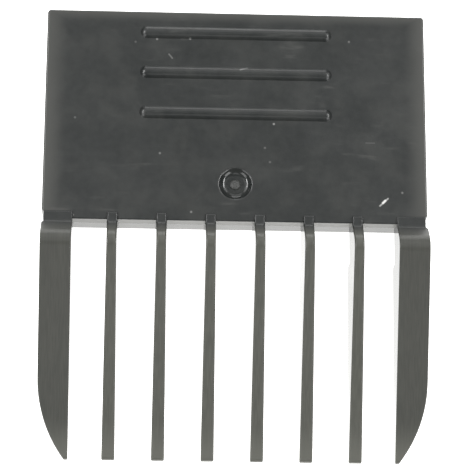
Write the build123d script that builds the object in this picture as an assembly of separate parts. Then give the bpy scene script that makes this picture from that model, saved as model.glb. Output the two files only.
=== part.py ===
from build123d import *
import math
import os

# Clip-on guard comb for a hair clipper, moulded in one black plastic.
# The model is drawn from the plate's front edge: X runs across the comb, -Y points
# along the teeth, Z = 0 is the plate's skin face and +Z points away from the blade.
# place() then moves each piece so that the origin is at the centre of the base.

# Driving dimensions, mm and degrees
PLATE_WIDTH = 45.1
PLATE_LENGTH = 26.25
PLATE_THICKNESS = 1.4
WALL = 1.4
SEAT_DEPTH = 3.2         # skin face down to the faces that the blade lies against
BLADE_ROOM = 2.8         # from those faces down to the rails that hold the blade
RAIL_HEIGHT = 1.2
REACH = 27.08            # plate's front edge to the tips of the teeth
TOOTH_PITCH = 5.722
TOOTH_COUNT = 6          # narrow teeth, between the two wide outer teeth
LATCH_GAP = 0.03         # running gap at the root of the flexing tongue

# Plate
PLATE_CORNER = 0.4
PLATE_EDGE = 0.25
FRONT_EDGE = 0.15
FRONT_LEAN = 0.15        # the front face leans back by this from its lower edge to the skin
NECK_INSET = 0.28        # groove in each side of the comb, beside the outer teeth's heads
RIDGE_LENGTH = 22.8
RIDGE_WIDTH = 1.55
RIDGE_RISE = 0.36
RIDGE_TAPER = 48
RIDGE_ROUND = 0.85
RIDGE_FIRST = 13.43      # front edge to the nearest ridge
RIDGE_PITCH = 5.06
RIDGE_COUNT = 3
GATE_BACK = 4.75         # front edge to the moulding gate's dimple
DIMPLE_RADIUS = 1.95
DIMPLE_DEPTH = 0.5       # its wall slopes at 45 degrees
DIMPLE_LIP = 0.35
DIMPLE_FLOOR_ROUND = 0.85
GATE_RADIUS = 0.68
GATE_RISE = 0.3

# Teeth, seen from the side
HEAD_LENGTH = 0.95       # part of each tooth that lies on the plate
HEAD_RISE = 0.25
FOLD_AHEAD = 0.25        # plate's front edge to the foot of the ramp
HEAD_FRONT_ROUND = 0.5
BEND_AHEAD = 2.55        # where the ramp and the long top edge would meet
BEND_RISE = 2.55
BEND_ROUND = 2.0
TIP_DROP = 5.75          # skin face down to the top edge at the tip
TIP_DEPTH = 1.0
TIP_ROUND = 0.42
NOTCH_LENGTH = 3.8       # pocket for the blade's own teeth, ahead of the front wall
STOP_DEPTH = 5.0         # skin face down to the lower end of the notch

# Teeth, seen from the front
BEND_WIDTH = 1.13
DRAFT = 1.43
FLANGE_WIDTH = 1.42      # rim where the head meets the plate
FLANGE_RISE = 0.12
FLANGE_MARGIN = 0.08     # how far the rim stands out behind the head
FLANGE_CORNER = 0.35
NARROW_EDGE = 0.18
OUTER_EDGE = 0.12
UPPER_MARGIN = 0.3       # edges at least this far above a tooth's mid-height are rounded
OUTER_TOOTH_WIDTH = 3.62
OUTER_CURVE = 14.3       # radius of the outer contour near the tip
OUTER_CURVE_LENGTH = 8.95
OUTER_TIP_ROUND = 0.18
OUTER_FLANGE = 0.1       # rim beside the outer head
CORE_WIDTH = 1.4         # groove that keeps the outer tooth's section thin
CORE_SKIN = 1.6
CORE_FRONT = 17.5
CORE_BACK = 5.4

# Blade side
RAIL_WIDTH = 1.0
RAIL_BACK = 12.0
RAIL_FRONT = 3.0
RAIL_ROUND = 0.6
CHEEK_ROUND = 1.6        # front lower corner of each side wall
SILL_BACK = 13.0         # the side wall's lower edge is level up to here
SIDE_REAR_DEPTH = 4.3
SIDE_ROUND = 1.2
RIB_WIDTH = 1.1
RIB_LENGTH = 20.0
LATCH_WIDTH = 13.0
LATCH_SLOT = 1.5         # free space on each side of the tongue
LATCH_THICKNESS = 0.9
LATCH_BACK_INSET = 0.45  # plate's rear edge to the tongue's rear face
LATCH_DROP = 6.7
HOOK_REACH = 0.8
HOOK_RISE = 1.1
HOOK_NOSE = 0.3
HOOK_SLOPE = 0.1
BEAD_REACH = 0.4
BEAD_HEIGHT = 0.5
BEAD_RISE = 1.1

# Worked out from the dimensions above
SKIN_HEIGHT = SEAT_DEPTH + BLADE_ROOM + RAIL_HEIGHT
CENTRE_SHIFT = (REACH - PLATE_LENGTH) / 2
HALF_WIDTH = PLATE_WIDTH / 2
CHANNEL_HALF = HALF_WIDTH - WALL
OUTER_INNER_X = HALF_WIDTH - OUTER_TOOTH_WIDTH
LOWER_EDGE = -SKIN_HEIGHT
LATCH_Y = PLATE_LENGTH - LATCH_BACK_INSET - LATCH_THICKNESS / 2
LATCH_PIVOT_Z = -PLATE_THICKNESS - LATCH_GAP - LATCH_THICKNESS / 2


def place(shape):
    """Move a piece from the drawing frame to the comb's own frame."""
    return Pos(0, CENTRE_SHIFT, SKIN_HEIGHT) * shape


def block(x, y, z):
    """Box from (low, high) pairs along X, Y and Z."""
    size = [high - low for low, high in (x, y, z)]
    centre = [(high + low) / 2 for low, high in (x, y, z)]
    return Pos(*centre) * Box(*size)


def outline(points):
    """Closed flat face through the points."""
    return make_face(Polyline(*points, close=True))


def soften(face, corner, radius):
    """Round the corner of a flat face that lies nearest to a point."""
    vertex = face.vertices().sort_by_distance(Vector(*corner))[0]
    return fillet(vertex, radius)


def slab(face, low, high):
    """Extrude a face drawn in (Y, Z) from X = low to X = high."""
    return Pos(low, 0, 0) * extrude(Plane.YZ * face, high - low)


def mirror_x(shape):
    return mirror(shape, Plane.YZ)


def front_y(z):
    """Where the leaning front face is, at a height below the skin face."""
    return FRONT_LEAN * (1 + z / SEAT_DEPTH)


def root_y():
    """Where the plate's flat skin begins, behind its rounded front edge."""
    return FRONT_LEAN + FRONT_EDGE


def neck_groove():
    """Groove down each side of the comb beside the outer heads, with sloping ends."""
    bottom_x = HALF_WIDTH - NECK_INSET
    outer_x = HALF_WIDTH + WALL
    spread = outer_x - bottom_x
    plan = outline([
        (bottom_x, -FOLD_AHEAD), (bottom_x, HEAD_LENGTH),
        (outer_x, HEAD_LENGTH + spread), (outer_x, -FOLD_AHEAD - spread),
    ])
    right = extrude(Pos(0, 0, -SKIN_HEIGHT) * plan, 2 * SKIN_HEIGHT)
    return right + mirror_x(right)


def ridge_positions():
    return [RIDGE_FIRST + i * RIDGE_PITCH for i in range(RIDGE_COUNT)]


def tooth_positions():
    middle = (TOOTH_COUNT - 1) / 2
    return [(i - middle) * TOOTH_PITCH for i in range(TOOTH_COUNT)]


def top_plate():
    section = outline([
        (front_y(0), 0), (PLATE_LENGTH, 0), (PLATE_LENGTH, -PLATE_THICKNESS),
        (front_y(-PLATE_THICKNESS), -PLATE_THICKNESS),
    ])
    plate = slab(section, -HALF_WIDTH, HALF_WIDTH)
    rear_corners = plate.edges().filter_by(Axis.Z).group_by(Axis.Y)[-1]
    plate = fillet(rear_corners, PLATE_CORNER)
    plate -= neck_groove()
    skin = plate.faces().sort_by(Axis.Z)[-1]
    groove_end = HEAD_LENGTH + NECK_INSET
    plate = fillet([e for e in skin.edges() if e.center().Y > groove_end], PLATE_EDGE)
    front_edge = plate.edges().filter_by(Axis.X).group_by(Axis.Z)[-1].sort_by(Axis.Y)[0]
    plate = fillet(front_edge, FRONT_EDGE)
    dish = Pos(0, GATE_BACK, 0) * Cone(
        DIMPLE_RADIUS - DIMPLE_DEPTH, DIMPLE_RADIUS, DIMPLE_DEPTH,
        align=(Align.CENTER, Align.CENTER, Align.MAX),
    )
    dish = fillet(dish.edges().sort_by(Axis.Z)[0], DIMPLE_FLOOR_ROUND)
    plate -= dish
    lip = [
        e for e in plate.edges().filter_by(GeomType.CIRCLE)
        if abs(e.radius - DIMPLE_RADIUS) < 0.01 and abs(e.center().Z) < 0.01
    ]
    return fillet(lip, DIMPLE_LIP)


def gate_mark():
    """Broken stub of the gate, standing on the dimple's floor."""
    stub = Cylinder(
        GATE_RADIUS, GATE_RISE, align=(Align.CENTER, Align.CENTER, Align.MIN)
    )
    stub = fillet(stub.edges().sort_by(Axis.Z)[-1], GATE_RISE / 2)
    return Pos(0, GATE_BACK, -DIMPLE_DEPTH) * stub


def grip_ridge(y):
    """Low round-ended bar across the plate, with sloping sides."""
    bar = extrude(SlotOverall(RIDGE_LENGTH, RIDGE_WIDTH), RIDGE_RISE, taper=RIDGE_TAPER)
    bar = fillet(bar.faces().sort_by(Axis.Z)[-1].edges(), RIDGE_ROUND)
    return Pos(0, y, 0) * bar


def side_profile():
    """A tooth seen from the side, in (Y, Z), with the piece of the wall that it grows from."""
    ramp_foot = (-FOLD_AHEAD, HEAD_RISE)
    root = root_y()
    bend = (-BEND_AHEAD, BEND_RISE)
    tip_top = (-REACH, -TIP_DROP)
    tip_low = (-REACH, -TIP_DROP - TIP_DEPTH)
    face = outline([
        (HEAD_LENGTH, 0), (HEAD_LENGTH, HEAD_RISE), ramp_foot, bend, tip_top, tip_low,
        (-NOTCH_LENGTH, -STOP_DEPTH), (-NOTCH_LENGTH, -SEAT_DEPTH), (root, -SEAT_DEPTH), (root, 0),
    ])
    rounds = {
        ramp_foot: HEAD_FRONT_ROUND, bend: BEND_ROUND, tip_top: TIP_ROUND, tip_low: TIP_ROUND,
    }
    for corner, radius in rounds.items():
        face = soften(face, corner, radius)
    return face


def upper_edges(tooth):
    """Edges round the skin side of a tooth, from the back of its head to the tip."""
    chosen = []
    for edge in tooth.edges():
        middle = edge.center()
        share = -middle.Y / REACH
        half_way = -(SEAT_DEPTH / 2) * (1 - share) - (TIP_DROP + TIP_DEPTH / 2) * share
        across = abs(edge.tangent_at(0.5).X) > 0.5
        upright = abs(edge.tangent_at(0.5).Z) > 0.9
        on_plate = middle.Y > 0 and middle.Z < HEAD_RISE / 2
        upper = middle.Z > half_way + UPPER_MARGIN and not on_plate
        back_of_head = middle.Y > HEAD_LENGTH - FLANGE_MARGIN
        if upper and not upright and (back_of_head or not across):
            chosen.append(edge)
    return chosen


def body_front():
    """The plate and the wall under its front edge, which each tooth is fitted to."""
    return top_plate() + front_wall()


def head_flange(low, high, corners):
    """Low rim round the head, on the plate."""
    rim = block((low, high), (root_y(), HEAD_LENGTH + FLANGE_MARGIN), (0, FLANGE_RISE))
    uprights = rim.edges().filter_by(Axis.Z).group_by(Axis.Y)[-1]
    rim = fillet(uprights.sort_by(Axis.X)[corners], FLANGE_CORNER)
    return rim


def narrow_tooth(x):
    """Tooth whose sides lean in towards the skin side by the mould's draft."""
    top, bottom = SKIN_HEIGHT, -SKIN_HEIGHT
    lean = math.tan(math.radians(DRAFT))
    half_top = BEND_WIDTH / 2 + lean * (BEND_RISE - top)
    half_bottom = BEND_WIDTH / 2 + lean * (BEND_RISE - bottom)
    wedge = extrude(
        Plane.XZ * outline([
            (-half_top, top), (half_top, top), (half_bottom, bottom), (-half_bottom, bottom),
        ]),
        REACH + PLATE_LENGTH, both=True,
    )
    tooth = slab(side_profile(), -TOOTH_PITCH / 2, TOOTH_PITCH / 2) & wedge
    tooth = fillet(upper_edges(tooth), NARROW_EDGE)
    tooth += head_flange(-FLANGE_WIDTH / 2, FLANGE_WIDTH / 2, slice(None))
    tooth -= body_front()
    return Pos(x, 0, 0) * tooth


def outer_plan():
    """The right outer tooth seen from above, in (X, Y)."""
    turn = math.asin(OUTER_CURVE_LENGTH / OUTER_CURVE)
    curve_start = (HALF_WIDTH, OUTER_CURVE_LENGTH - REACH)
    curve_end = (HALF_WIDTH - OUTER_CURVE * (1 - math.cos(turn)), -REACH)
    curve_middle = (
        HALF_WIDTH - OUTER_CURVE * (1 - math.cos(turn / 2)),
        curve_start[1] - OUTER_CURVE * math.sin(turn / 2),
    )
    tip_inner = (OUTER_INNER_X, -REACH)
    edges = [
        Polyline((OUTER_INNER_X, HEAD_LENGTH), (HALF_WIDTH, HEAD_LENGTH), curve_start),
        ThreePointArc(curve_start, curve_middle, curve_end),
        Polyline(curve_end, tip_inner, (OUTER_INNER_X, HEAD_LENGTH)),
    ]
    face = make_face(edges)
    for corner in (curve_end, tip_inner):
        face = soften(face, corner, OUTER_TIP_ROUND)
    return face


def core_groove():
    """Groove up into the outer tooth from below, parallel to its top edge."""
    fall = (BEND_RISE + TIP_DROP) / (REACH - BEND_AHEAD)

    def ceiling(y):
        return BEND_RISE - fall * (y - BEND_AHEAD) - CORE_SKIN

    face = outline([
        (-CORE_BACK, ceiling(CORE_BACK)), (-CORE_FRONT, ceiling(CORE_FRONT)),
        (-CORE_FRONT, -SKIN_HEIGHT), (-CORE_BACK, -SKIN_HEIGHT),
    ])
    middle = OUTER_INNER_X + OUTER_TOOTH_WIDTH / 2
    return slab(face, middle - CORE_WIDTH / 2, middle + CORE_WIDTH / 2)


def outer_tooth():
    """Right outer tooth; the left one is its mirror image."""
    plan = extrude(Pos(0, 0, -SKIN_HEIGHT) * outer_plan(), 2 * SKIN_HEIGHT)
    tooth = slab(side_profile(), 0, PLATE_WIDTH) & plan
    tooth = fillet(upper_edges(tooth), OUTER_EDGE)
    tooth -= core_groove()
    tooth += head_flange(OUTER_INNER_X - OUTER_FLANGE, HALF_WIDTH - NECK_INSET, slice(0, 1))
    return tooth - neck_groove() - body_front() - side_wall()


def front_wall():
    section = outline([
        (0, -SEAT_DEPTH), (front_y(-PLATE_THICKNESS), -PLATE_THICKNESS), (WALL, -PLATE_THICKNESS),
        (WALL, -SEAT_DEPTH),
    ])
    return slab(section, -CHANNEL_HALF, CHANNEL_HALF)


def rear_wall():
    """Right half of the low wall under the plate's rear edge, beside the tongue."""
    inner = LATCH_WIDTH / 2 + LATCH_SLOT
    return block(
        (inner, CHANNEL_HALF), (PLATE_LENGTH - WALL, PLATE_LENGTH), (-SEAT_DEPTH, -PLATE_THICKNESS)
    )


def side_wall():
    """Right side wall, whose front end runs on under the outer tooth as a cheek."""
    cheek_low = (-NOTCH_LENGTH, LOWER_EDGE)
    rear_low = (PLATE_LENGTH, -SIDE_REAR_DEPTH)
    face = outline([
        (PLATE_LENGTH, -PLATE_THICKNESS), (0, -PLATE_THICKNESS), (0, -SEAT_DEPTH),
        (-NOTCH_LENGTH, -SEAT_DEPTH), cheek_low, (SILL_BACK, LOWER_EDGE), rear_low,
    ])
    face = soften(face, cheek_low, CHEEK_ROUND)
    face = soften(face, rear_low, SIDE_ROUND)
    wall = slab(face, CHANNEL_HALF, HALF_WIDTH)
    rear_upright = wall.edges().filter_by(Axis.Z).group_by(Axis.Y)[-1].sort_by(Axis.X)[-1]
    wall = fillet(rear_upright, PLATE_CORNER)
    return wall - neck_groove()


def blade_rail():
    """Right rail that reaches in under the blade."""
    rail = block(
        (CHANNEL_HALF - RAIL_WIDTH, CHANNEL_HALF), (-RAIL_FRONT, RAIL_BACK),
        (LOWER_EDGE, LOWER_EDGE + RAIL_HEIGHT),
    )
    ends = rail.edges().filter_by(Axis.Z).sort_by(Axis.X)[:2]
    return fillet(ends, RAIL_ROUND)


def seat_rib(x):
    return block(
        (x - RIB_WIDTH / 2, x + RIB_WIDTH / 2), (WALL, WALL + RIB_LENGTH),
        (-SEAT_DEPTH, -PLATE_THICKNESS),
    )


def latch_tongue():
    """Thin tongue that hangs from the plate's rear edge; its root is round, so it can swing."""
    half = LATCH_THICKNESS / 2
    face = make_face([
        Line((LATCH_Y + half, LATCH_PIVOT_Z), (LATCH_Y + half, -LATCH_DROP)),
        Line((LATCH_Y + half, -LATCH_DROP), (LATCH_Y - half, -LATCH_DROP)),
        Line((LATCH_Y - half, -LATCH_DROP), (LATCH_Y - half, LATCH_PIVOT_Z)),
        ThreePointArc(
            (LATCH_Y - half, LATCH_PIVOT_Z), (LATCH_Y, LATCH_PIVOT_Z + half),
            (LATCH_Y + half, LATCH_PIVOT_Z),
        ),
    ])
    return slab(face, -LATCH_WIDTH / 2, LATCH_WIDTH / 2)


def latch_hook():
    """Catch along the tongue's lower edge, with a flat top and a sloping lead-in."""
    face_y = LATCH_Y - LATCH_THICKNESS / 2
    nose_y = face_y - HOOK_REACH
    nose_z = HOOK_RISE - LATCH_DROP - HOOK_SLOPE
    face = outline([
        (face_y, HOOK_RISE - LATCH_DROP), (nose_y, nose_z), (nose_y, nose_z - HOOK_NOSE),
        (face_y, -LATCH_DROP),
    ])
    return slab(face, -LATCH_WIDTH / 2, LATCH_WIDTH / 2)


def latch_bead():
    """Thumb bead along the outside of the tongue's lower edge."""
    face_y = LATCH_Y + LATCH_THICKNESS / 2
    face = outline([
        (face_y, -LATCH_DROP), (face_y + BEAD_REACH, -LATCH_DROP),
        (face_y + BEAD_REACH, BEAD_HEIGHT - LATCH_DROP), (face_y, BEAD_RISE - LATCH_DROP),
    ])
    face = soften(face, (face_y + BEAD_REACH, -LATCH_DROP), BEAD_REACH / 2)
    return slab(face, -LATCH_WIDTH / 2, LATCH_WIDTH / 2)


def build():
    parts = {
        "top_plate": top_plate(),
        "front_wall": front_wall(),
        "gate_mark": gate_mark(),
        "latch_tongue": latch_tongue(),
        "latch_hook": latch_hook(),
        "latch_bead": latch_bead(),
    }
    for i, y in enumerate(ridge_positions(), 1):
        parts[f"grip_ridge_{i}"] = grip_ridge(y)
    for i, x in enumerate(tooth_positions(), 1):
        parts[f"comb_tooth_{i}"] = narrow_tooth(x)
    rib_places = [x for x in tooth_positions() if abs(x) > TOOTH_PITCH]
    for i, x in enumerate(rib_places, 1):
        parts[f"seat_rib_{i}"] = seat_rib(x)
    paired = {
        "outer_tooth": outer_tooth(), "side_wall": side_wall(),
        "blade_rail": blade_rail(), "rear_wall": rear_wall(),
    }
    for name, shape in paired.items():
        parts[f"{name}_right"] = shape
        parts[f"{name}_left"] = mirror_x(shape)
    return parts


os.makedirs("parts", exist_ok=True)
for name, shape in build().items():
    export_step(place(shape), f"parts/{name}.step")
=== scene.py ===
import math

import bmesh
import bpy
from mathutils import Matrix, Vector, noise


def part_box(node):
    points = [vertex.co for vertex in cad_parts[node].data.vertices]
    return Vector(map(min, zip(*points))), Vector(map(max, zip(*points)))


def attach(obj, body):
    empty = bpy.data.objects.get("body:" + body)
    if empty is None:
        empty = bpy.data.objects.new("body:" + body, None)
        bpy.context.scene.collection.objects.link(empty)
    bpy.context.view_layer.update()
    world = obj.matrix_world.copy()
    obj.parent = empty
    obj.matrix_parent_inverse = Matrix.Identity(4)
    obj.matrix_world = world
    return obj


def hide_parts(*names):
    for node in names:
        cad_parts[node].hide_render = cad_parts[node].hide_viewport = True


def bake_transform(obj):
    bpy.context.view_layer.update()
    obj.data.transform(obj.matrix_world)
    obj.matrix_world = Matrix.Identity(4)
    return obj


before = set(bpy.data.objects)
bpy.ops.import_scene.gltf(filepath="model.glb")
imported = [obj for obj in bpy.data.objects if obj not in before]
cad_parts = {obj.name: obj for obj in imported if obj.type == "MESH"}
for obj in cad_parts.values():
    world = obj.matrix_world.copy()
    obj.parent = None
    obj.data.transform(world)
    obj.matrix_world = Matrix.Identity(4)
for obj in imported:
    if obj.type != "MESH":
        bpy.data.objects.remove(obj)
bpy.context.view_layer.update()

MM = 0.001

# Camera: seen from above and a little towards the teeth, as the comb lies on the table
VIEW_AZIMUTH = math.radians(8.05)     # to the left of straight in front
VIEW_ELEVATION = math.radians(73.3)
VIEW_ROLL = math.radians(0.32)
VIEW_DISTANCE = 250.1 * MM
VIEW_AIM = Vector((0.0, -0.98 * MM, 6.76 * MM))
LENS = 164.5
SENSOR = 36.0

# Studio: a lit white floor, and soft boxes on a half sphere round the comb
FLOOR_GLOW = 1.4
FLOOR_DROP = 0.05 * MM      # keeps the floor clear of the comb's own lower faces
FILL = 0.21
RIG_RADIUS = 0.6
SOFT_BOXES = {
    # name: (tilt from overhead, bearing from +X, width, height, radiance), degrees and metres
    "key": (44, 90, 0.28, 0.24, 1.4),
    "rear_low": (76, 90, 0.28, 0.26, 2.8),
    "rear_left": (44, 135, 0.24, 0.24, 2.5),
    "rear_right": (44, 45, 0.24, 0.24, 2.5),
    "side_left": (42, 166, 0.36, 0.09, 18.0),
    "side_right": (42, 14, 0.36, 0.09, 18.0),
    "front_left": (52, 218, 0.30, 0.30, 3.4),
    "front_right": (52, 322, 0.30, 0.30, 4.3),
    "overhead": (22, 270, 0.2, 0.2, 1.3),
    "roof_left": (22, 135, 0.24, 0.24, 1.3),
    "roof_right": (22, 45, 0.24, 0.24, 0.8),
}

# Plastic
PLATE_DARK = (0.0080, 0.0098, 0.0094)
PLATE_LIGHT = (0.0180, 0.0200, 0.0192)
# Teeth and outer teeth: painted sheen, lighter copies of the plate's black; the front wall shares
# the teeth's colours as painted reflection
TOOTH_DARK = (0.047, 0.048, 0.040)
TOOTH_LIGHT = (0.067, 0.068, 0.057)
OUTER_DARK = (0.034, 0.035, 0.030)
OUTER_LIGHT = (0.046, 0.047, 0.040)
# Painted highlight on the end faces of the tooth tips
TIP_PAINTED_HIGHLIGHT = (0.082, 0.083, 0.071)
# Pale grey for wear, stress whitening, random mottle and the gate's grit, and for the painted glow
# near the plate's edges
PALE_WEAR_AND_GLOW = (0.045, 0.046, 0.042)
DUST = (0.62, 0.62, 0.60)
FRONT_PAINTED_REFLECTION = (0.27, 0.27, 0.25)    # painted reflection: light grey that stands in for the very light front edge
FRONT_GLOSS = 0.4                   # share of the plate's roughness that is left there
FRONT_IOR = 2.5                     # above that of the plastic, for the same light front edge
DISH_RADIUS = 2.0 * MM
DISH_GLOSS = 0.5
MOTTLE = 0.22
CLOUD_SIZE = 5 * MM
GRAIN_SIZE = 0.3 * MM
GRAIN_DEPTH = 4e-6
# How far the painted glow reaches in from the plate's sides and rear edge
SIDE_GLOW_REACH = 2.8 * MM
REAR_GLOW_REACH = 1.6 * MM

# Marks on the skin face: start, end and width in millimetres, and strength
MARKS = [
    ((16.95, 2.75), (17.9, 3.65), 0.15, 0.4),
    ((17.3, 3.1), (17.6, 3.4), 0.2, 0.9),
    ((-8.0, 21.2), (-7.6, 20.7), 0.14, 0.12),
    ((0.5, 19.3), (1.3, 19.6), 0.16, 0.16),
    ((15.4, 10.5), (16.4, 10.5), 0.12, 0.05),
]
# The spot at (-18.9, 1.0), the strongest, is a pale fleck at the inner corner of the left outer
# tooth's head
MARKS += [(spot, spot, 0.2, strength) for spot, strength in (
    ((19.6, 4.4), 0.16), ((4.5, 12.65), 0.28), ((-8.9, 8.75), 0.16), ((-5.15, 1.6), 0.18),
    ((-18.95, 13.0), 0.10), ((13.5, 23.25), 0.13), ((-9.45, 23.1), 0.18), ((-5.5, 23.2), 0.18),
    ((4.05, 7.9), 0.1), ((3.45, 9.65), 0.1), ((-18.9, 1.0), 0.45), ((-12.0, 22.7), 0.08),
)]

# Latch
ROOT_ROUND = 0.35 * MM
LATCH_ROUND = 0.15 * MM
LATCH_END_ROUND = 0.12 * MM
HOOK_NOSE = 0.3 * MM
HOOK_SLOPE = 0.1 * MM
BEAD_HEIGHT = 0.5 * MM
LATCH_GAP = 0.25 * MM       # greatest gap between the points of its outline
ROOT_SINK = 0.02 * MM
ROOT_DEPTH = 0.3 * MM       # how far the root goes up inside the plate

# Gate stub: how fine its two layers of relief are
STUB_LUMPS = 2.6
STUB_GRIT = 7

PLATE_BOX = [Vector(corner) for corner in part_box("top_plate")]
GATE_BOX = [Vector(corner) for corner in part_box("gate_mark")]
DISH_CENTRE = ((GATE_BOX[0].x + GATE_BOX[1].x) / 2, (GATE_BOX[0].y + GATE_BOX[1].y) / 2, 0)
ROOT_Y = PLATE_BOX[0].y
TIP_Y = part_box("comb_tooth_1")[0].y


def add_camera():
    """Camera high above the teeth, with the comb's rear edge at the top of the picture."""
    away = Vector((
        -math.cos(VIEW_ELEVATION) * math.sin(VIEW_AZIMUTH),
        -math.cos(VIEW_ELEVATION) * math.cos(VIEW_AZIMUTH),
        math.sin(VIEW_ELEVATION),
    ))
    up = (Vector((0, 1, 0)) - away * away.y).normalized()
    right = up.cross(away)
    turn = Matrix.Rotation(VIEW_ROLL, 3, away)
    right, up = turn @ right, turn @ up
    data = bpy.data.cameras.new("camera")
    data.lens = LENS
    data.sensor_width = SENSOR
    data.clip_start = 0.01
    data.clip_end = 20
    camera = bpy.data.objects.new("camera", data)
    rotation = Matrix((right, up, away)).transposed().to_4x4()
    camera.matrix_world = Matrix.Translation(VIEW_AIM + away * VIEW_DISTANCE) @ rotation
    bpy.context.scene.collection.objects.link(camera)
    bpy.context.scene.camera = camera


class Paint:
    """One material's node graph, fed with places in the comb's own frame, in metres."""

    def __init__(self, name):
        self.material = bpy.data.materials.new(name)
        self.material.use_nodes = True
        self.tree = self.material.node_tree
        self.tree.nodes.clear()
        output = self.tree.nodes.new("ShaderNodeOutputMaterial")
        self.shader = self.tree.nodes.new("ShaderNodeBsdfPrincipled")
        self.tree.links.new(self.shader.outputs["BSDF"], output.inputs["Surface"])
        self.place = self.tree.nodes.new("ShaderNodeTexCoord").outputs["Object"]
        self.normal = self.tree.nodes.new("ShaderNodeNewGeometry").outputs["Normal"]
        self.bumps = None

    def feed(self, socket, value):
        """Link a socket, or set its value."""
        if isinstance(value, bpy.types.NodeSocket):
            self.tree.links.new(value, socket)
        else:
            socket.default_value = value

    def math(self, operation, *values):
        node = self.tree.nodes.new("ShaderNodeMath")
        node.operation = operation
        for socket, value in zip(node.inputs, values):
            self.feed(socket, value)
        return node.outputs[0]

    def vector(self, operation, *values):
        node = self.tree.nodes.new("ShaderNodeVectorMath")
        node.operation = operation
        for socket, value in zip(node.inputs, values):
            self.feed(socket, value)
        return node.outputs["Value" if operation in ("DOT_PRODUCT", "LENGTH") else "Vector"]

    def part(self, vector, axis):
        node = self.tree.nodes.new("ShaderNodeSeparateXYZ")
        self.feed(node.inputs[0], vector)
        return node.outputs[axis]

    def fade(self, value, zero, one, low=0.0, high=1.0):
        """Smooth step from low, where value is zero, to high, where value is one."""
        node = self.tree.nodes.new("ShaderNodeMapRange")
        node.interpolation_type = "SMOOTHSTEP"
        for socket, setting in zip(node.inputs, (value, zero, one, low, high)):
            self.feed(socket, setting)
        return node.outputs[0]

    def noise(self, size, stretch=(1, 1, 1), detail=3.0, shift=0.0):
        """Noise whose blobs are about size metres, and longer where stretch is over 1."""
        node = self.tree.nodes.new("ShaderNodeTexNoise")
        scale = self.vector("MULTIPLY", self.place, tuple(1 / (size * s) for s in stretch))
        moved = self.vector("ADD", scale, (shift, shift / 2, 0))
        self.feed(node.inputs["Vector"], moved)
        node.inputs["Scale"].default_value = 1
        node.inputs["Detail"].default_value = detail
        return node.outputs["Fac"]

    def mix(self, amount, first, second):
        node = self.tree.nodes.new("ShaderNodeMix")
        node.data_type = "RGBA"
        self.feed(node.inputs["Factor"], amount)
        for socket, colour in ((node.inputs[6], first), (node.inputs[7], second)):
            self.feed(socket, colour if isinstance(colour, bpy.types.NodeSocket) else (*colour, 1))
        return node.outputs[2]

    def near_line(self, start, end, width):
        """Mask of a mark on the skin, between two places in millimetres seen from above."""
        first = Vector((*start, 0)) * MM
        run = Vector((*end, 0)) * MM - first
        length = max(run.length, 1e-6)
        along = run / length
        flat = self.vector("MULTIPLY", self.place, (1, 1, 0))
        offset = self.vector("SUBTRACT", flat, tuple(first))
        reach = self.vector("DOT_PRODUCT", offset, tuple(along))
        held = self.math("MINIMUM", self.math("MAXIMUM", reach, 0.0), length)
        node = self.tree.nodes.new("ShaderNodeVectorMath")
        node.operation = "SCALE"
        node.inputs[0].default_value = tuple(along)
        self.feed(node.inputs["Scale"], held)
        gap = self.vector("LENGTH", self.vector("SUBTRACT", offset, node.outputs["Vector"]))
        return self.fade(gap, width * MM, width * MM * 0.25)

    def bump(self, height, depth):
        """Add relief of a depth in metres."""
        node = self.tree.nodes.new("ShaderNodeBump")
        node.inputs["Strength"].default_value = 1
        node.inputs["Distance"].default_value = depth
        self.feed(node.inputs["Height"], height)
        if self.bumps:
            self.feed(node.inputs["Normal"], self.bumps)
        self.bumps = node.outputs["Normal"]

    def finish(self, colour, roughness, ior=1.5):
        self.feed(self.shader.inputs["Base Color"], colour)
        self.feed(self.shader.inputs["Roughness"], roughness)
        self.shader.inputs["IOR"].default_value = ior
        if self.bumps:
            self.feed(self.shader.inputs["Normal"], self.bumps)
        return self.material


def moulded_skin(paint, dark, light, grain=GRAIN_SIZE, depth=GRAIN_DEPTH):
    """Colour and relief that all the moulded plastic shares: cloudy tone and a fine grain."""
    clouds = paint.noise(CLOUD_SIZE)
    specks = paint.noise(grain * 3, detail=4)
    tone = paint.math("MULTIPLY_ADD", specks, 0.6, paint.math("MULTIPLY", clouds, 0.6))
    paint.bump(paint.noise(grain, detail=2), depth)
    return paint.mix(paint.fade(tone, 0.3, 0.9), dark, light)


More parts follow.
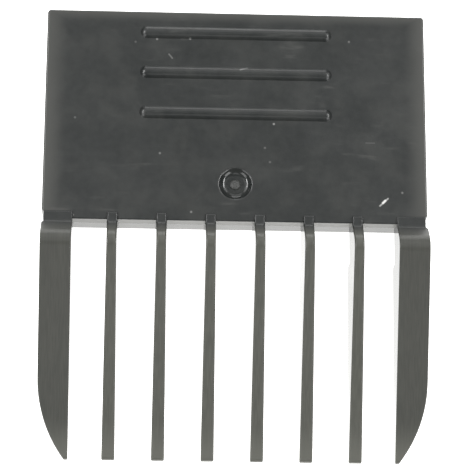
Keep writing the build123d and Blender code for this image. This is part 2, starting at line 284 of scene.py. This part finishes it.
def plate_paint():
    """Skin of the plate: semi-gloss, with a painted glow near its edges and a painted reflection on
    its front face, scuffed, with scratches and dust.
    """
    paint = Paint("plate_plastic")
    colour = moulded_skin(paint, PLATE_DARK, PLATE_LIGHT)
    upward = paint.fade(paint.part(paint.normal, 2), 0.5, 0.9)
    low, high = PLATE_BOX
    # Painted glow: upward faces near the plate's sides and rear edge are mixed towards the pale
    # grey
    sideways = paint.math("ABSOLUTE", paint.part(paint.place, 0))
    side = paint.fade(sideways, high.x - SIDE_GLOW_REACH, high.x)
    rear = paint.fade(paint.part(paint.place, 1), high.y - REAR_GLOW_REACH, high.y)
    edge_glow = paint.math("MULTIPLY", paint.math("MAXIMUM", side, rear), upward)
    colour = paint.mix(edge_glow, colour, PALE_WEAR_AND_GLOW)
    mottle = paint.fade(paint.noise(3.2 * MM, detail=6, shift=11), 0.42, 0.68, 0.0, MOTTLE)
    colour = paint.mix(mottle, colour, PALE_WEAR_AND_GLOW)
    scuffs = paint.noise(0.9 * MM, stretch=(5, 1, 1), detail=5, shift=3)
    patches = paint.noise(6 * MM, detail=2, shift=7)
    wear_and_sheen = paint.math("MULTIPLY", paint.fade(scuffs, 0.55, 0.75), paint.fade(patches, 0.45, 0.65))
    colour = paint.mix(paint.math("MULTIPLY", wear_and_sheen, 0.5), colour, PALE_WEAR_AND_GLOW)
    marks = None
    for start, end, width, strength in MARKS:
        mark = paint.math("MULTIPLY", paint.near_line(start, end, width), strength)
        marks = mark if marks is None else paint.math("MAXIMUM", marks, mark)
    marks = paint.math("MULTIPLY", marks, upward)
    colour = paint.mix(marks, colour, DUST)
    rough = paint.math("MULTIPLY_ADD", wear_and_sheen, 0.12, paint.fade(patches, 0.3, 0.7, 0.28, 0.33))
    centre = paint.vector("SUBTRACT", paint.vector("MULTIPLY", paint.place, (1, 1, 0)), DISH_CENTRE)
    in_dish = paint.fade(paint.vector("LENGTH", centre), DISH_RADIUS, DISH_RADIUS - 0.2 * MM)
    rough = paint.math("MULTIPLY", rough, paint.fade(in_dish, 0.0, 1.0, 1.0, DISH_GLOSS))
    # Painted reflection: the plate's forward face along its front edge is mixed towards a light
    # grey, and kept glossier
    forward = paint.fade(paint.part(paint.normal, 1), -0.9, -0.98)
    ahead = paint.fade(paint.part(paint.place, 1), low.y + 0.6 * MM, low.y + 0.4 * MM)
    front = paint.math("MULTIPLY", forward, ahead)
    colour = paint.mix(front, colour, FRONT_PAINTED_REFLECTION)
    rough = paint.math("MULTIPLY", rough, paint.fade(front, 0.0, 1.0, 1.0, FRONT_GLOSS))
    return paint.finish(colour, rough)


def tooth_paint(name, sheen_dark, sheen_light):
    """Teeth: painted sheen, lighter than the plate from the root forwards, polished by hair, with
    fine lines along their length.
    """
    paint = Paint(name)
    ahead = paint.part(paint.place, 1)
    # Painted sheen: from the root forwards the teeth go from the plate's colours to their own
    # lighter ones
    sheen_reach = paint.fade(ahead, ROOT_Y, ROOT_Y - 2.2 * MM)
    lines = paint.noise(0.16 * MM, stretch=(1, 60, 4), detail=3, shift=2)
    dark = moulded_skin(paint, PLATE_DARK, PLATE_LIGHT)
    wear_and_sheen = paint.mix(paint.fade(lines, 0.25, 0.75), sheen_dark, sheen_light)
    colour = paint.mix(sheen_reach, dark, wear_and_sheen)
    # Painted highlight: the teeth lighten over the last 5 mm towards their tips
    tip_highlight = paint.fade(ahead, TIP_Y + 5 * MM, TIP_Y)
    colour = paint.mix(tip_highlight, colour, TIP_PAINTED_HIGHLIGHT)
    paint.bump(lines, 1.5e-6)
    flank = paint.fade(paint.math("ABSOLUTE", paint.part(paint.normal, 0)), 0.6, 0.95)
    rough = paint.fade(flank, 0.0, 1.0, 0.32, 0.1)
    return paint.finish(colour, rough)


def inner_paint():
    """Blade side: fine matt spark-eroded texture."""
    paint = Paint("inner_plastic")
    colour = moulded_skin(paint, PLATE_DARK, PLATE_LIGHT, grain=0.22 * MM, depth=8e-6)
    rough = paint.fade(paint.noise(2.5 * MM, shift=5), 0.3, 0.7, 0.36, 0.46)
    return paint.finish(colour, rough)


def front_paint():
    """Front wall between the teeth, polished by the hair that runs along it, painted in the teeth's
    lighter colours as painted reflection of the lit floor.
    """
    paint = Paint("front_plastic")
    colour = moulded_skin(paint, TOOTH_DARK, TOOTH_LIGHT)
    rough = paint.fade(paint.noise(1.5 * MM, shift=9), 0.3, 0.7, 0.1, 0.16)
    return paint.finish(colour, rough, ior=FRONT_IOR)


def latch_paint():
    """Latch: the matt plastic, paler where its root is bent in use."""
    paint = Paint("latch_plastic")
    colour = moulded_skin(paint, PLATE_DARK, PLATE_LIGHT, grain=0.22 * MM, depth=6e-6)
    low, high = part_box("latch_tongue")
    height = paint.math("SUBTRACT", paint.part(paint.place, 2), high.z - 0.5 * MM)
    crease = paint.fade(paint.math("ABSOLUTE", height), 0.6 * MM, 0.0)
    streaks = paint.noise(0.3 * MM, stretch=(1, 1, 6), shift=4)
    stress = paint.math("MULTIPLY", crease, paint.fade(streaks, 0.35, 0.7, 0.1, 0.6))
    return paint.finish(paint.mix(stress, colour, PALE_WEAR_AND_GLOW), 0.4)


def gate_paint():
    """Broken gate stub: rough and a little paler."""
    paint = Paint("gate_scar")
    grit = paint.noise(0.12 * MM, detail=5)
    colour = paint.mix(paint.fade(grit, 0.35, 0.7), PLATE_LIGHT, PALE_WEAR_AND_GLOW)
    paint.bump(grit, 30e-6)
    return paint.finish(colour, paint.fade(grit, 0.3, 0.7, 0.35, 0.6))


def add_floor():
    """Pale floor that is lit from within, like a light table."""
    mesh = bpy.data.meshes.new("floor")
    half = 1.5
    turns = ((-half, -half), (half, -half), (half, half), (-half, half))
    corners = [(x, y, -FLOOR_DROP) for x, y in turns]
    mesh.from_pydata(corners, [], [(0, 1, 2, 3)])
    floor = bpy.data.objects.new("floor", mesh)
    bpy.context.scene.collection.objects.link(floor)
    paint = Paint("pale_floor")
    paint.shader.inputs["Emission Color"].default_value = (1, 1, 0.99, 1)
    paint.shader.inputs["Emission Strength"].default_value = FLOOR_GLOW
    mesh.materials.append(paint.finish((0.9, 0.9, 0.89, 1), 0.8))


def add_soft_box(name, tilt, bearing, width, height, radiance):
    tilt, bearing = math.radians(tilt), math.radians(bearing)
    direction = Vector((
        math.sin(tilt) * math.cos(bearing), math.sin(tilt) * math.sin(bearing), math.cos(tilt),
    ))
    data = bpy.data.lights.new(name, "AREA")
    data.shape = "RECTANGLE"
    data.size = width
    data.size_y = height
    data.energy = math.pi * width * height * radiance
    lamp = bpy.data.objects.new(name, data)
    turn = (-direction).to_track_quat("-Z", "Y").to_matrix().to_4x4()
    lamp.matrix_world = Matrix.Translation(direction * RIG_RADIUS) @ turn
    bpy.context.scene.collection.objects.link(lamp)


def add_lights():
    world = bpy.data.worlds.new("studio")
    world.use_nodes = True
    world.node_tree.nodes["Background"].inputs["Color"].default_value = (1, 1, 1, 1)
    world.node_tree.nodes["Background"].inputs["Strength"].default_value = FILL
    bpy.context.scene.world = world
    for name, settings in SOFT_BOXES.items():
        add_soft_box(name, *settings)
    bpy.context.scene.view_settings.view_transform = "Standard"


def new_piece(name, mesh, material):
    for face in mesh.polygons:
        face.use_smooth = True
    piece = bpy.data.objects.new(name, mesh)
    bpy.context.scene.collection.objects.link(piece)
    mesh.materials.append(material)
    return piece


def add_gate_stub(material):
    """The gate's broken stub: a low uneven knob on the floor of the dish."""
    low, high = GATE_BOX
    radius = (high.x - low.x) / 2
    rings, sectors = 9, 36
    middle = Vector(DISH_CENTRE)
    builder = bmesh.new()
    top = builder.verts.new((middle.x, middle.y, high.z - 0.05 * MM))
    circles = []
    for ring in range(1, rings + 1):
        share = ring / rings
        circle = []
        for sector in range(sectors):
            angle = 2 * math.pi * sector / sectors
            way = Vector((math.cos(angle), math.sin(angle), 0))
            rough = noise.noise(way * share * STUB_LUMPS + Vector((0, 0, 4)))
            fine = noise.noise(way * share * STUB_GRIT + Vector((0, 0, 9)))
            rise = (1 - share ** 5) * (0.72 + 0.32 * rough + 0.18 * fine)
            edge = 1 - 0.06 * abs(rough)
            spot = middle + way * radius * share * edge
            spot.z = low.z - 0.02 * MM + (high.z - low.z) * max(0, min(1, rise))
            circle.append(builder.verts.new(spot))
        circles.append(circle)
    for sector in range(sectors):
        after = (sector + 1) % sectors
        builder.faces.new((top, circles[0][sector], circles[0][after]))
        for inner, outer in zip(circles, circles[1:]):
            builder.faces.new((inner[sector], outer[sector], outer[after], inner[after]))
    builder.faces.new(list(reversed(circles[-1])))
    mesh = bpy.data.meshes.new("gate_stub")
    builder.to_mesh(mesh)
    builder.free()
    piece = new_piece("gate_stub", mesh, material)
    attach(piece, "comb")
    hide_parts("gate_mark")


def rounded(corners):
    """Closed outline in (Y, Z) through (place, radius) corners, rounded where there is a radius."""
    path = []
    for i, (corner, radius) in enumerate(corners):
        if not radius:
            path.append(corner)
            continue
        ways = [(corners[j][0] - corner).normalized() for j in (i - 1, (i + 1) % len(corners))]
        half = ways[0].angle(ways[1]) / 2
        centre = corner + (ways[0] + ways[1]).normalized() * radius / math.sin(half)
        first, last = [
            (corner + way * radius / math.tan(half) - centre).normalized() for way in ways
        ]
        path += [centre + first.slerp(last, step / 5) * radius for step in range(6)]
    return path


def spaced(path, gap):
    """The closed path with points added where its sides are longer than gap."""
    points = []
    for start, end in zip(path, path[1:] + path[:1]):
        pieces = max(1, math.ceil((end - start).length / gap))
        points += [start.lerp(end, i / pieces) for i in range(pieces)]
    return points


def inset(path, distance):
    """The closed path, which runs anticlockwise seen from +X, moved inwards."""
    moved = []
    for before, point, after in zip(path[-1:] + path[:-1], path, path[1:] + path[:1]):
        along = (after - before).normalized()
        moved.append(point + Vector((0, -along.z, along.y)) * distance)
    return moved


def latch_corners():
    """The latch seen from the side: root under the plate, hook, lower end, bead, root."""
    tongue, hook, bead = (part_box(f"latch_{name}") for name in ("tongue", "hook", "bead"))
    face, back = tongue[0].y, tongue[1].y
    bottom = tongue[0].z
    top = PLATE_BOX[0].z + ROOT_SINK
    flare = ROOT_ROUND * 1.1
    nose, nose_top = hook[0].y, hook[1].z - HOOK_SLOPE
    places = [
        (face - flare, top, 0), (face, top, ROOT_ROUND), (face, hook[1].z, LATCH_ROUND),
        (nose, nose_top, LATCH_ROUND), (nose, nose_top - HOOK_NOSE, LATCH_ROUND),
        (face, bottom, LATCH_ROUND), (bead[1].y, bottom, LATCH_ROUND),
        (bead[1].y, bottom + BEAD_HEIGHT, LATCH_ROUND), (back, bead[1].z, LATCH_ROUND),
        (back, top, ROOT_ROUND), (back + flare, top, 0),
        (back + flare, top + ROOT_DEPTH, 0), (face - flare, top + ROOT_DEPTH, 0),
    ]
    return [(Vector((0, y, z)), radius) for y, z, radius in places]


def add_latch(material):
    """The latch as one piece with rounded ends, rounded at its root just below the plate."""
    outline = spaced(rounded(latch_corners()), LATCH_GAP)
    low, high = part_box("latch_tongue")
    quarter = [math.radians(angle) for angle in (90, 60, 30, 0)]
    ends = [
        (LATCH_END_ROUND * (1 - math.sin(t)), LATCH_END_ROUND * (1 - math.cos(t))) for t in quarter
    ]
    stations = [(low.x + step, depth) for step, depth in ends]
    stations += [(high.x - step, depth) for step, depth in reversed(ends)]
    points = []
    for x, depth in stations:
        points += [point + Vector((x, 0, 0)) for point in inset(outline, depth)]
    count = len(outline)
    faces = [tuple(reversed(range(count))), tuple(range(len(points) - count, len(points)))]
    for ring in range(len(stations) - 1):
        for i in range(count):
            near, far = ring * count, (ring + 1) * count
            after = (i + 1) % count
            faces.append((near + i, near + after, far + after, far + i))
    mesh = bpy.data.meshes.new("latch")
    mesh.from_pydata(points, [], faces)
    piece = new_piece("latch", mesh, material)
    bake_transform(piece)
    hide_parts("latch_tongue", "latch_hook", "latch_bead")


add_camera()
add_floor()
add_lights()
PAINTS = {
    "plate": plate_paint(), "inner": inner_paint(), "front": front_paint(),
    "tooth": tooth_paint("tooth_plastic", TOOTH_DARK, TOOTH_LIGHT),
    "outer": tooth_paint("outer_tooth_plastic", OUTER_DARK, OUTER_LIGHT),
    "latch": latch_paint(), "gate": gate_paint(),
}
FINISHES = {
    "plate": ("top_plate", "grip_ridge", "side_wall", "rear_wall"),
    "tooth": ("comb_tooth",),
    "outer": ("outer_tooth",),
    "inner": ("blade_rail", "seat_rib"),
    "front": ("front_wall",),
    "latch": ("latch",),
    "gate": ("gate_mark",),
}
for name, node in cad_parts.items():
    kind = next(k for k, starts in FINISHES.items() if name.startswith(starts))
    node.data.materials.clear()
    node.data.materials.append(PAINTS[kind])
add_gate_stub(PAINTS["gate"])
add_latch(PAINTS["latch"])
